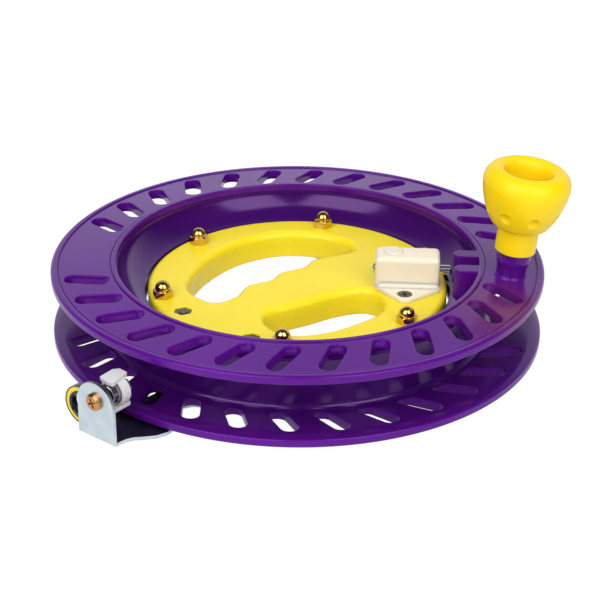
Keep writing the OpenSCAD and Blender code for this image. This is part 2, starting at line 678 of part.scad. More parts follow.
module guide_roller() color("#8f9296") on_shaft(roller_x) difference() {
    l = roller_len;
    rotate_extrude($fn = 72) polygon([[1, 0], [roller_d / 2 - 0.3, 0], [roller_d / 2, 0.3],
        [roller_d / 2, l - 0.3], [roller_d / 2 - 0.3, l], [1, l]]);
    translate([0, 0, -1]) cylinder(r = guide_shank_r + 0.05, h = l + 2);
}

module guide_clip() color("#e9e7e4") difference() {
    r = roller_d / 2 + 0.3;
    x = clip_x;
    t = clip_pad;
    union() {
        on_shaft(x) cylinder(r = r + 1, h = clip_len);
        at_guide() {
            translate([0, 0, guide_z + r]) linear_extrude(t) polygon([[x + 7, -4.2], [x - 0.6, -4.6],
                [x - 3, -2.8], [x - 2.6, 1.6], [x + 7.8, 3.9], [x + 8.4, 0.6]]);
            translate([0, 0, guide_z - r - t]) linear_extrude(t) polygon([[x - 1.6, -3.4],
                [x + 7.6, -3.4], [x + 8.2, 4.2], [x - 1.4, 4.2]]);
        }
    }
    on_shaft(x + clip_wall) cylinder(r = r, h = clip_len + 10);
    on_shaft(x - 8) cylinder(r = guide_shank_r + 0.02, h = clip_len + 12);
}

module eyelet_frame() color("#3a3c40") {
    r = eyelet_d / 2;
    difference() {
        union() {
            on_shaft(eye_x - 1.7) translate([-eye_dz, eye_y, 0]) cylinder(r = r, h = 3.4);
            on_shaft(eye_x - lug_t / 2) cylinder(r = lug_r, h = lug_t);
        }
        on_shaft(eye_x - 5) {
            translate([-eye_dz, eye_y, 0]) cylinder(r = r - eye_wall, h = 10);
            cylinder(r = guide_shank_r + 0.05, h = 10);
        }
    }
}

module eyelet_ring() color("#e8d23a") on_shaft(eye_x - 1.5) translate([-eye_dz, eye_y, 0])
    ring(eyelet_d / 2 - eye_wall, eyelet_bore / 2 + 1.2, 3);

module eyelet_insert() color("#15151a") on_shaft(eye_x) translate([-eye_dz, eye_y, 0])
    rotate_extrude($fn = 72) polygon([
        [eyelet_bore / 2 + 1.2, -1.9], [eyelet_bore / 2 + 1.2, 1.9], [eyelet_bore / 2 + 0.8, 1.9],
        [eyelet_bore / 2 + 0.25, 1.5], [eyelet_bore / 2, 0.8], [eyelet_bore / 2, -0.8],
        [eyelet_bore / 2 + 0.25, -1.5], [eyelet_bore / 2 + 0.8, -1.9]]);

upper_flange();
drum();
lower_flange();
knob_washer();
knob_screw();
winding_knob();
upper_palm_plate();
lower_palm_plate();
axle_bolts();
acorn_nuts();
bearing_inner_rings();
bearing_balls();
bearing_outer_1();
bearing_outer_2();
bearing_outer_3();
bearing_outer_4();
bearing_outer_5();
bearing_outer_6();
lock_block();
lock_pin();
block_screws();
detent_ball();
detent_spring();
guide_bracket();
bracket_screws();
bracket_nuts();
guide_screw();
guide_nut();
guide_roller();
guide_clip();
eyelet_frame();
eyelet_ring();
eyelet_insert();
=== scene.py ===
"""Looks for the kite line winder: skins, finishes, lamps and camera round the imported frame."""

import logging
import math
from dataclasses import dataclass, field, replace
from enum import Enum
from functools import cached_property
from typing import Any, Mapping, Sequence

import bmesh
import bpy
import numpy as np
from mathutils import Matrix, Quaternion, Vector
from mathutils.geometry import tessellate_polygon


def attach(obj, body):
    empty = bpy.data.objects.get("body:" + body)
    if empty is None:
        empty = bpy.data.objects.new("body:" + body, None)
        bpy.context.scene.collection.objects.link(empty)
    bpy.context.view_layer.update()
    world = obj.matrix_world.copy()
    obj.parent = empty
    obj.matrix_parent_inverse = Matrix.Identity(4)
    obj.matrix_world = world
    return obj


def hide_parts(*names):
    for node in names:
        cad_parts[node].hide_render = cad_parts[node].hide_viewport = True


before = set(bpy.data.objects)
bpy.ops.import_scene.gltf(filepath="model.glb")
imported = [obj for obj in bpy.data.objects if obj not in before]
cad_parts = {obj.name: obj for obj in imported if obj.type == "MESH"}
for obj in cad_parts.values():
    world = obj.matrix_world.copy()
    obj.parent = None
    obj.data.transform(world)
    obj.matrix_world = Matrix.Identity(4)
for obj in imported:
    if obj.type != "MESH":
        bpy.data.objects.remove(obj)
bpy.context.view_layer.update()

MM = 0.001
LOG = logging.getLogger("line_winder")

Array = np.ndarray
Colour = tuple[float, float, float]
Point = tuple[float, float, float]
Values = Mapping[Any, Any] | None

# Shared, in millimetres and degrees.
ROUND_STEPS = 360
FLAT_HOLD = 0.08
BEARING_RING = 61.8
BEARING_ANGLES = (22.0, 82.0, 142.3, 199.0, 267.5, 323.0)
RACE_HALF = 2.75
PALM_TOP = 6.3


# ------------ shapes


class Turn(Enum):
    """Which way up a mirrored moulding lies."""

    UPRIGHT = 1
    OVER = -1


@dataclass
class Skin:
    """Points and faces of one surface, in millimetres."""

    points: Array
    quads: Array
    tris: Array = field(default_factory=lambda: np.zeros((0, 3), int))

    def moved(self, matrix: Array, shift: Sequence[float] = (0.0, 0.0, 0.0)) -> "Skin":
        """The same surface after a 3 by 3 turn and then a shift in millimetres."""
        return Skin(self.points @ matrix.T + shift, self.quads, self.tris)


def joined(skins: Sequence[Skin]) -> Skin:
    """All the skins as one, with their points in one list."""
    starts = np.cumsum([0] + [len(s.points) for s in skins[:-1]])
    return Skin(
        np.concatenate([s.points for s in skins]),
        np.concatenate([s.quads + n for s, n in zip(skins, starts)]),
        np.concatenate([s.tris + n for s, n in zip(skins, starts)]),
    )


def turn_z(degrees: float) -> Array:
    """Turn about the spin axis."""
    c, s = math.cos(math.radians(degrees)), math.sin(math.radians(degrees))
    return np.array([[c, -s, 0.0], [s, c, 0.0], [0.0, 0.0, 1.0]])


def turn_y(degrees: float) -> Array:
    """Turn about the y axis, z towards x."""
    c, s = math.cos(math.radians(degrees)), math.sin(math.radians(degrees))
    return np.array([[c, 0.0, s], [0.0, 1.0, 0.0], [-s, 0.0, c]])


def sheet(grid: Array, wrap: bool = False) -> Skin:
    """A surface of quads through a grid of points.

    Args:
        grid: the points, rows by columns by xyz.
        wrap: whether the last column joins the first.
    Returns:
        The surface.
    """
    index = np.arange(grid.shape[0] * grid.shape[1]).reshape(grid.shape[:2])
    if wrap:
        index = np.hstack([index, index[:, :1]])
    corners = [index[:-1, :-1], index[:-1, 1:], index[1:, 1:], index[1:, :-1]]
    return Skin(grid.reshape(-1, 3), np.stack(corners, -1).reshape(-1, 4))


def turned(radius: Array, height: Array, angle: Array, wrap: bool = True) -> Skin:
    """A surface of rows round the z axis: radius and height by row, or by row and angle."""
    x, y = radius * np.cos(angle), radius * np.sin(angle)
    return sheet(np.stack([x, y, np.broadcast_to(height, x.shape)], -1), wrap)


def whole_turn(count: int) -> Array:
    """Even angles of a whole turn, from 0."""
    return np.arange(count) * 2 * np.pi / count


def quarter_turn(steps: int) -> Array:
    """Angles from 0 to a quarter turn."""
    return np.linspace(0, np.pi / 2, steps + 1)


def softened(corners: Sequence[Sequence[float]], radii: float | Sequence[float],
             steps: int = 5, closed: bool = False) -> Array:
    """Round the corners of a line.

    A corner P between A and B becomes the curve (1-t)^2 S + 2t(1-t) P + t^2 E, with S and E
    the corner's radius away from P, and a further point just outside S and E holds the flats flat.

    Args:
        corners: the line's corner points.
        radii: one radius, or one for each corner.
        steps: spans in a rounded corner.
        closed: whether the line is a closed outline.
    Returns:
        Points of the rounded line.
    """
    p = np.asarray(corners, float)
    a, b = np.roll(p, 1, 0), np.roll(p, -1, 0)
    la, lb = np.linalg.norm(a - p, axis=1), np.linalg.norm(b - p, axis=1)
    reach, hold = 0.42, 1.12
    d = np.minimum(radii, reach * np.minimum(la, lb))[:, None]
    ua, ub = (a - p) / la[:, None], (b - p) / lb[:, None]
    s, e = p + ua * d, p + ub * d
    t = np.linspace(0, 1, steps + 1)[None, :, None]
    arc = (1 - t) ** 2 * s[:, None] + 2 * t * (1 - t) * p[:, None] + t ** 2 * e[:, None]
    line = np.concatenate([(p + ua * d * hold)[:, None], arc, (p + ub * d * hold)[:, None]], 1)
    if closed:
        return line.reshape(-1, p.shape[1])
    return np.concatenate([p[:1], line[1:-1].reshape(-1, p.shape[1]), p[-1:]])


def flowing(points: Sequence[Sequence[float]], steps: int, closed: bool = True) -> Array:
    """A smooth line through the points: each span is the cubic through its two ends
    whose slopes there are half the step between the neighbours.

    Args:
        points: what the line passes through.
        steps: points in a span.
        closed: whether the last point joins the first.
    Returns:
        Points of the line.
    """
    p = np.asarray(points, float)
    if closed:
        a, b, c, d = np.roll(p, 1, 0), p, np.roll(p, -1, 0), np.roll(p, -2, 0)
    else:
        q = np.concatenate([2 * p[:1] - p[1:2], p, 2 * p[-1:] - p[-2:-1]])
        a, b, c, d = q[:-3], q[1:-2], q[2:-1], q[3:]
    t = (np.arange(steps) / steps)[None, :, None]
    a, b, c, d = a[:, None], b[:, None], c[:, None], d[:, None]
    line = 0.5 * (2 * b + t * (c - a) + t * t * (2 * a - 5 * b + 4 * c - d)
                  + t ** 3 * (3 * b - a - 3 * c + d))
    line = line.reshape(-1, p.shape[1])
    return line if closed else np.concatenate([line, p[-1:]])


def revolved(profile: Array, count: int = ROUND_STEPS, closed: bool = False) -> Skin:
    """A profile of (radius, height) carried round z, with its end joined to its start if closed."""
    p = np.concatenate([profile, profile[:1]]) if closed else np.asarray(profile)
    return turned(p[:, :1], p[:, 1:2], whole_turn(count))


def unit(rows: Array) -> Array:
    """Each row at length 1, and a row of zeros as it is."""
    return rows / np.maximum(np.linalg.norm(rows, axis=1, keepdims=True), 1e-12)


def outward(outline: Array) -> Array:
    """Unit normals of a counter-clockwise outline, from the two edges at each point."""
    edge = np.roll(outline, -1, 0) - outline
    n = unit(np.stack([edge[:, 1], -edge[:, 0]], 1))
    return unit(n + np.roll(n, 1, 0))


def flat_fill(loops: Sequence[Array], height: float) -> Skin:
    """A flat face at one height inside the first loop and outside the others.

    Args:
        loops: closed outlines of xy points.
        height: z of the face.
    Returns:
        The face as triangles.
    """
    rings = [np.c_[loop, np.full(len(loop), height)] for loop in loops]
    tris = tessellate_polygon([[Vector(q) for q in ring.tolist()] for ring in rings])
    return Skin(np.concatenate(rings), np.zeros((0, 4), int), np.array(tris, int).reshape(-1, 3))


@dataclass
class Edge:
    """How far the rounding of a slab's rim reaches at its top and bottom."""

    top: float = 0.3
    bottom: float = 0.3
    steps: int = 5


def rim(outline: Array, low: float, high: float, edge: Edge,
        side: float = -1.0) -> tuple[Skin, Array, Array]:
    """The wall of a slab along one outline, rounded into the top and bottom faces.

    At angle u of a quarter turn the outline moves by side*r*(1-cos u) along its normals
    while the height moves by r*sin u.

    Args:
        outline: closed outline, counter-clockwise.
        low: bottom of the slab.
        high: top of the slab.
        edge: rounding at top and bottom.
        side: -1 for the outside of a slab, +1 for a hole through it.
    Returns:
        The wall, and the outlines where the bottom and top faces begin.
    """
    n, u = outward(outline), quarter_turn(edge.steps)
    grow = np.concatenate([[edge.bottom + FLAT_HOLD], edge.bottom * (1 - np.cos(u[::-1])),
                           edge.top * (1 - np.cos(u)), [edge.top + FLAT_HOLD]]) * side
    z = np.concatenate([[low], low + edge.bottom * (1 - np.sin(u[::-1])),
                        high - edge.top * (1 - np.sin(u)), [high]])
    xy = outline[None] + n[None] * grow[:, None, None]
    grid = np.concatenate([xy, np.broadcast_to(z[:, None, None], xy.shape[:2] + (1,))], -1)
    return sheet(grid, wrap=True), xy[0], xy[-1]


def opening(outline: Array, low: float, high: float, soft: float,
            steps: int) -> tuple[Skin, Array]:
    """An opening's wall, sharp below and softened above, and where the top face begins."""
    wall, _, over = rim(outline, low, high, Edge(soft, 0.0, steps), 1.0)
    return sheet(wall.points.reshape(-1, len(outline), 3)[1:], wrap=True), over


def slab(outline: Array, low: float, high: float, edge: Edge) -> Skin:
    """A plate from low to high with a rounded rim, closed top and bottom."""
    wall, under, over = rim(outline, low, high, edge)
    return joined([wall, flat_fill([under], low), flat_fill([over], high)])


def circle(radius: float, count: int, centre: Sequence[float] = (0.0, 0.0)) -> Array:
    """Points of a circle, counter-clockwise from angle 0."""
    a = whole_turn(count)
    return np.c_[centre[0] + radius * np.cos(a), centre[1] + radius * np.sin(a)]


def capsule(length: float, width: float, count: int) -> Array:
    """A long hole's outline, evenly spaced from the middle of its +x end, counter-clockwise.

    Args:
        length: length over the round ends.
        width: width.
        count: number of points.
    Returns:
        The outline.
    """
    r, half, a = width / 2, (length - width) / 2, quarter_turn(24)
    quarter = np.c_[half + r * np.cos(a), r * np.sin(a)]
    top = np.concatenate([quarter, (quarter * [-1, 1])[::-1]])
    full = np.concatenate([top, (top * [1, -1])[::-1], top[:1]])
    run = np.concatenate([[0], np.cumsum(np.linalg.norm(np.diff(full, axis=0), axis=1))])
    at = np.arange(count) / count * run[-1]
    return np.c_[np.interp(at, run, full[:, 0]), np.interp(at, run, full[:, 1])]


# ------------ finishes


@dataclass(frozen=True)
class Wire:
    """One output socket. Arithmetic on it adds Math nodes."""

    shader: "Shader"
    socket: Any

    def maths(self, operation: str, a: Any, b: Any = 0.0) -> "Wire":
        """One Math node on the two values."""
        return self.shader.value("ShaderNodeMath", {"operation": operation}, {0: a, 1: b})

    def __add__(self, other: Any) -> "Wire":
        """Sum."""
        return self.maths("ADD", self, other)

    __radd__ = __add__

    def __sub__(self, other: Any) -> "Wire":
        """Difference."""
        return self.maths("SUBTRACT", self, other)

    def __rsub__(self, other: Any) -> "Wire":
        """Difference from a number."""
        return self.maths("SUBTRACT", other, self)

    def __mul__(self, other: Any) -> "Wire":
        """Product."""
        return self.maths("MULTIPLY", self, other)

    __rmul__ = __mul__

    def larger(self, other: Any) -> "Wire":
        """The larger of two values."""
        return self.maths("MAXIMUM", self, other)

    def size(self) -> "Wire":
        """The value without its sign."""
        return self.maths("ABSOLUTE", self)

    def above(self, low: float, high: float) -> "Wire":
        """0 below low, 1 above high, smooth between."""
        return self.shader.value("ShaderNodeMapRange", {"interpolation_type": "SMOOTHSTEP"},
                                 {0: self, 1: low, 2: high})


class Shader:
    """A material or world under construction."""

    def __init__(self, owner: bpy.types.Material | bpy.types.World) -> None:
        """Start an empty node tree.

        Args:
            owner: the material or world that it belongs to.
        """
        owner.use_nodes = True
        self.owner, self.tree = owner, owner.node_tree
        self.tree.nodes.clear()

    @cached_property
    def place(self) -> Wire:
        """Object coordinates."""
        return self.value("ShaderNodeTexCoord", None, None, "Object")

    def node(self, kind: str, settings: Values = None, sockets: Values = None) -> Any:
        """Add one node.

        Args:
            kind: the node's type.
            settings: its own settings, set first.
            sockets: values or wires for its inputs, by name or number.
        Returns:
            The node.
        """
        made = self.tree.nodes.new(kind)
        for key, value in (settings or {}).items():
            setattr(made, key, value)
        for key, value in (sockets or {}).items():
            if isinstance(value, Wire):
                self.tree.links.new(value.socket, made.inputs[key])
            else:
                made.inputs[key].default_value = value
        return made

    def value(self, kind: str, settings: Values = None, sockets: Values = None,
              output: int | str = 0) -> Wire:
        """Add one node and take one of its outputs; the arguments are those of node()."""
        return Wire(self, self.node(kind, settings, sockets).outputs[output])

    def split(self, vector: Wire) -> tuple[Wire, Wire, Wire]:
        """The x, y and z of a vector."""
        parts = self.node("ShaderNodeSeparateXYZ", None, {0: vector}).outputs
        return Wire(self, parts[0]), Wire(self, parts[1]), Wire(self, parts[2])

    def rays(self, *kinds: str) -> list[Wire]:
        """1 for a ray of each kind, such as Camera, and 0 for any other."""
        path = self.node("ShaderNodeLightPath")
        return [Wire(self, path.outputs[f"Is {kind} Ray"]) for kind in kinds]

    def upward(self) -> Wire:
        """1 on faces that look up, 0 on walls and undersides."""
        normal = self.value("ShaderNodeNewGeometry", None, None, "True Normal")
        return self.split(normal)[2].above(0.6, 0.9)

    def mapped(self, scale: Sequence[float], turn: Sequence[float] = (0.0, 0.0, 0.0)) -> Wire:
        """Object coordinates scaled and turned."""
        return self.value("ShaderNodeMapping", None,
                          {"Vector": self.place, "Scale": scale, "Rotation": turn})

    def noise(self, scale: float, detail: float = 2.0, vector: Wire | None = None,
              drag: float = 0.0) -> Wire:
        """Smooth random values from 0 to 1, with scale spots in a metre and detail octaves."""
        return self.value("ShaderNodeTexNoise", None, {
            "Vector": vector or self.place, "Scale": scale, "Detail": detail, "Distortion": drag})

    def blended(self, amount: Wire | float, first: Any, second: Any) -> Wire:
        """Mix of two colours, all first at 0 and all second at 1."""
        def plain(value: Any) -> Any:
            """A colour with its alpha."""
            return value if isinstance(value, Wire) else (*value, 1.0)
        return self.value("ShaderNodeMix", {"data_type": "RGBA"},
                          {0: amount, 6: plain(first), 7: plain(second)}, 2)

    def relief(self, height: Wire, depth: float, edge: float = 0.0) -> Wire:
        """Surface normals from a height, over edges softened by a radius in metres.

        Args:
            height: relief from 0 to 1.
            depth: metres from 0 to 1.
            edge: radius of the softened edges.
        Returns:
            The normals.
        """
        sockets: dict[str, Any] = {"Height": height, "Distance": depth, "Strength": 1.0}
        if edge > 0:
            sockets["Normal"] = self.value("ShaderNodeBevel", {"samples": 4}, {"Radius": edge})
        return self.value("ShaderNodeBump", None, sockets)

    def surface(self, look: Wire, kind: str = "Material") -> None:
        """Show a shader as the material's or the world's surface."""
        self.node(f"ShaderNodeOutput{kind}", None, {"Surface": look})

    def finished(self, sockets: Mapping[str, Any]) -> bpy.types.Material:
        """Close the material with one Principled shader that takes the sockets."""
        self.surface(self.value("ShaderNodeBsdfPrincipled", None, sockets))
        return self.owner


# Painted shade on upward plastic faces blends towards this colour.
PAINTED_SHADE: Colour = (0.02, 0.001, 0.05)
# Painted reflection and shadow of the knob on the flange blend towards this colour.
KNOB_REFLECTION_AND_SHADOW: Colour = (0.135, 0.022, 0.085)
# Painted shade on upward metal faces blends towards this colour.
PAINTED_METAL_SHADE: Colour = (0.02, 0.018, 0.04)


@dataclass(frozen=True)
class MouldedPlastic:
    """Injection-moulded plastic: two close shades, faint flow ripple, fine scuffs in the gloss.

    Lengths are in metres. grain is the share of fine specks in the relief, seam the angle of
    the parting line, glow the light that soaks in, gleam the colour of the gloss,
    painted_shade_up how far upward faces darken with painted shade, and knob_reflection_at
    the middle of a patch of painted reflection and shadow of the knob.
    """

    name: str
    shade: Colour
    deep: Colour
    roughness: float = 0.2
    scuff: float = 0.06
    ripple: float = 0.00002
    grain: float = 0.0
    edge: float = 0.0
    seam: float | None = None
    glow: float = 0.0
    sheen: float = 0.5
    ior: float = 1.5
    gleam: Colour = (1.0, 1.0, 1.0)
    painted_shade_up: float = 0.0
    knob_reflection_at: tuple[float, float] | None = None

    def build(self) -> bpy.types.Material:
        """Make the material."""
        s = Shader(bpy.data.materials.new(self.name))
        cloud = s.noise(scale=22.0, detail=3.0)
        scuffs = s.noise(900.0, 2.0, s.mapped((1.0, 1.0, 0.25))).above(0.62, 0.8)
        specks = s.noise(scale=2600.0, detail=1.0)
        colour = s.blended(cloud.above(0.35, 0.65), self.shade, self.deep)
        # Painted shade: upward faces are darkened.
        if self.painted_shade_up:
            colour = s.blended(s.upward() * self.painted_shade_up, colour, PAINTED_SHADE)
        # Painted reflection and shadow of the knob: a round patch near the post blends towards the
        # knob's colour.
        if self.knob_reflection_at:
            away = s.value("ShaderNodeVectorMath", {"operation": "DISTANCE"},
                           {0: s.mapped((1, 1, 0)), 1: (*self.knob_reflection_at, 0.0)}, "Value")
            near = 1 - away.above(0.008, 0.036)
            colour = s.blended(near * 0.52, colour, KNOB_REFLECTION_AND_SHADOW)
        height = s.noise(55.0, 1.5) * (1 - self.grain) + specks * (self.grain + 0.02)
        if self.seam is not None:
            along, across, _ = s.split(s.mapped((1, 1, 1), turn=(0, 0, -self.seam)))
            line = (1 - across.size().above(0.00012, 0.0005)) * along.above(0.0, 0.001)
            height = height + line * 3.0
            colour = s.blended(line * 0.35, colour, self.deep)
        rough = scuffs * self.scuff + cloud * 0.05 + (self.roughness - 0.025)
        sockets: dict[str, Any] = {
            "Base Color": colour, "Roughness": rough, "IOR": self.ior,
            "Specular IOR Level": self.sheen, "Specular Tint": (*self.gleam, 1.0),
            "Normal": s.relief(height, self.ripple, self.edge)}
        if self.glow:
            sockets["Subsurface Weight"] = self.glow
            sockets["Subsurface Radius"] = (1.0, 0.8, 0.6)
            sockets["Subsurface Scale"] = 0.002
        return s.finished(sockets)


@dataclass(frozen=True)
class PlatedMetal:
    """Plated or polished metal: bright colour, cloudy plating, fine lines and rubbed edges.

    cloud is the spots of tint in a metre, brushed the depth of the fine lines, and
    painted_shade_top how far upward faces darken with painted shade.
    """

    name: str
    shade: Colour
    tint: Colour
    roughness: float = 0.15
    cloud: float = 60.0
    brushed: float = 0.0
    ripple: float = 0.000006
    edge: float = 0.00015
    painted_shade_top: float = 0.0

    def build(self) -> bpy.types.Material:
        """Make the material."""
        s = Shader(bpy.data.materials.new(self.name))
        patches = s.noise(self.cloud, 4.0, drag=0.6)
        lines = s.noise(1400.0, 2.0, s.mapped((1.0, 0.06, 0.06)))
        colour = s.blended(patches.above(0.38, 0.66), self.shade, self.tint)
        # Painted shade: upward faces are darkened.
        if self.painted_shade_top:
            colour = s.blended(s.upward() * self.painted_shade_top, colour, PAINTED_METAL_SHADE)
        rough = patches * 0.12 + lines * (0.1 * self.brushed) + (self.roughness - 0.05)
        return s.finished({
            "Base Color": colour, "Metallic": 1.0, "Roughness": rough,
            "Normal": s.relief(lines * self.brushed + patches * 0.4, self.ripple, self.edge)})


Finish = MouldedPlastic | PlatedMetal

REEL = MouldedPlastic(
    "reel_plastic", (0.096, 0.006, 0.235), (0.083, 0.004, 0.200), sheen=0.45,
    gleam=(0.7, 0.4, 1.0), roughness=0.17, scuff=0.08, seam=math.radians(-95.5))
# The upper flange carries a painted reflection and shadow of the knob in front of its post.
UPPER_REEL = replace(REEL, name="upper_reel_knob_reflection", knob_reflection_at=(0.091, -0.041))
# The lower flange's upward faces darken as painted shade, for the shade of the upper flange.
LOWER_REEL = replace(REEL, name="lower_reel_painted_shade", painted_shade_up=0.5)
# The drum: the reel plastic in a darker colour as painted shade, between the flanges, with its own
# gloss.
SHADED_DRUM = replace(
    REEL, name="drum_painted_shade", shade=(0.044, 0.002, 0.118), deep=(0.037, 0.0015, 0.100),
    sheen=0.5, ior=1.62, gleam=(0.75, 0.45, 1.0))
DISC = MouldedPlastic(
    "disc_plastic", (0.96, 0.76, 0.018), (0.945, 0.735, 0.012), sheen=0.42,
    roughness=0.27, scuff=0.02, ripple=0.00001, glow=0.4)
KNOB = MouldedPlastic(
    "knob_plastic", (0.96, 0.68, 0.004), (0.945, 0.65, 0.003), sheen=0.25,
    roughness=0.32, scuff=0.02, ripple=0.00001, glow=0.35)
IVORY = MouldedPlastic(
    "ivory_nylon", (0.90, 0.82, 0.66), (0.87, 0.78, 0.62),
    roughness=0.4, grain=0.5, glow=0.5, edge=0.0003)
MILK = MouldedPlastic(
    "milk_nylon", (0.70, 0.69, 0.69), (0.64, 0.63, 0.64),
    roughness=0.42, grain=0.5, glow=0.3, edge=0.0003)
RING_YELLOW = MouldedPlastic(
    "ring_yellow", (0.85, 0.66, 0.03), (0.78, 0.58, 0.02), roughness=0.25, edge=0.0003)
GLAZE = MouldedPlastic(
    "black_glaze", (0.012, 0.012, 0.016), (0.02, 0.018, 0.02), roughness=0.12, edge=0.0004)
GOLD = PlatedMetal(
    "gold_plating", (0.70, 0.46, 0.14), (0.80, 0.55, 0.20), roughness=0.11, edge=0.0002)
# The bracket's upward faces darken as painted shade.
ZINC = PlatedMetal(
    "blue_zinc", (0.56, 0.66, 0.74), (0.66, 0.72, 0.74), roughness=0.3,
    cloud=120.0, brushed=0.6, edge=0.0003, painted_shade_top=0.85)
BRIGHT = PlatedMetal(
    "bright_steel", (0.72, 0.73, 0.75), (0.62, 0.64, 0.67), roughness=0.12, brushed=0.3)
BALL_STEEL = PlatedMetal(
    "bearing_steel", (0.34, 0.34, 0.36), (0.27, 0.27, 0.29), roughness=0.2, brushed=0.3)
COPPER = PlatedMetal(
    "copper_zinc", (0.66, 0.27, 0.13), (0.50, 0.31, 0.11), roughness=0.24,
    cloud=260.0, edge=0.0002)
ROLLER = PlatedMetal(
    "dark_chrome", (0.42, 0.40, 0.43), (0.36, 0.34, 0.37), roughness=0.16, brushed=0.3)
DARK = PlatedMetal(
    "dark_steel", (0.17, 0.165, 0.16), (0.1, 0.1, 0.105), roughness=0.3,
    cloud=200.0, edge=0.0002)


# ------------ pieces


def added(name: str, data: Any) -> bpy.types.Object:
    """A new object in the scene that holds the data."""
    made = bpy.data.objects.new(name, data)
    bpy.context.scene.collection.objects.link(made)
    return made


@dataclass
class Workshop:
    """Keeps the finishes and turns skins into pieces that ride on the frame.

    Points closer than merge and edges shorter than sliver, in metres, become one point, and
    edges past the crease angle stay sharp.
    """

    merge: float = 2e-6
    sliver: float = 1e-7
    crease: float = 35.0
    made: dict[str, bpy.types.Material] = field(default_factory=dict)

    def finish(self, finish: Finish) -> bpy.types.Material:
        """The material of a finish, built once."""
        if finish.name not in self.made:
            self.made[finish.name] = finish.build()
        return self.made[finish.name]

    def dress(self, node: str, finish: Finish) -> None:
        """Give a node that keeps its shape a finish."""
        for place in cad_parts[node].material_slots:
            place.material = self.finish(finish)
        LOG.info("dressed %s in %s", node, finish.name)

    def piece(self, name: str, skin: Skin, finish: Finish, body: str, slot: str,
              node: str) -> None:
        """Turn a skin into a piece.

        Args:
            name: name of the piece.
            skin: its surface, in millimetres.
            finish: its finish.
            body: the body that it rides on.
            slot: not used.
            node: the node that it stands for.
        """
        mesh = bpy.data.meshes.new(name)
        mesh.from_pydata((skin.points * MM).tolist(), [], skin.quads.tolist() + skin.tris.tolist())
        work = bmesh.new()
        work.from_mesh(mesh)
        bmesh.ops.remove_doubles(work, verts=work.verts, dist=self.merge)
        bmesh.ops.dissolve_degenerate(work, edges=work.edges, dist=self.sliver)
        bmesh.ops.recalc_face_normals(work, faces=work.faces)
        work.to_mesh(mesh)
        work.free()
        mesh.polygons.foreach_set("use_smooth", np.ones(len(mesh.polygons), bool))
        mesh.set_sharp_from_angle(angle=math.radians(self.crease))
        mesh.materials.append(self.finish(finish))
        made = added(name, mesh)
        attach(made, body)
        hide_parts(node)
        LOG.info("%s: %d faces on %s", name, len(mesh.polygons), body)


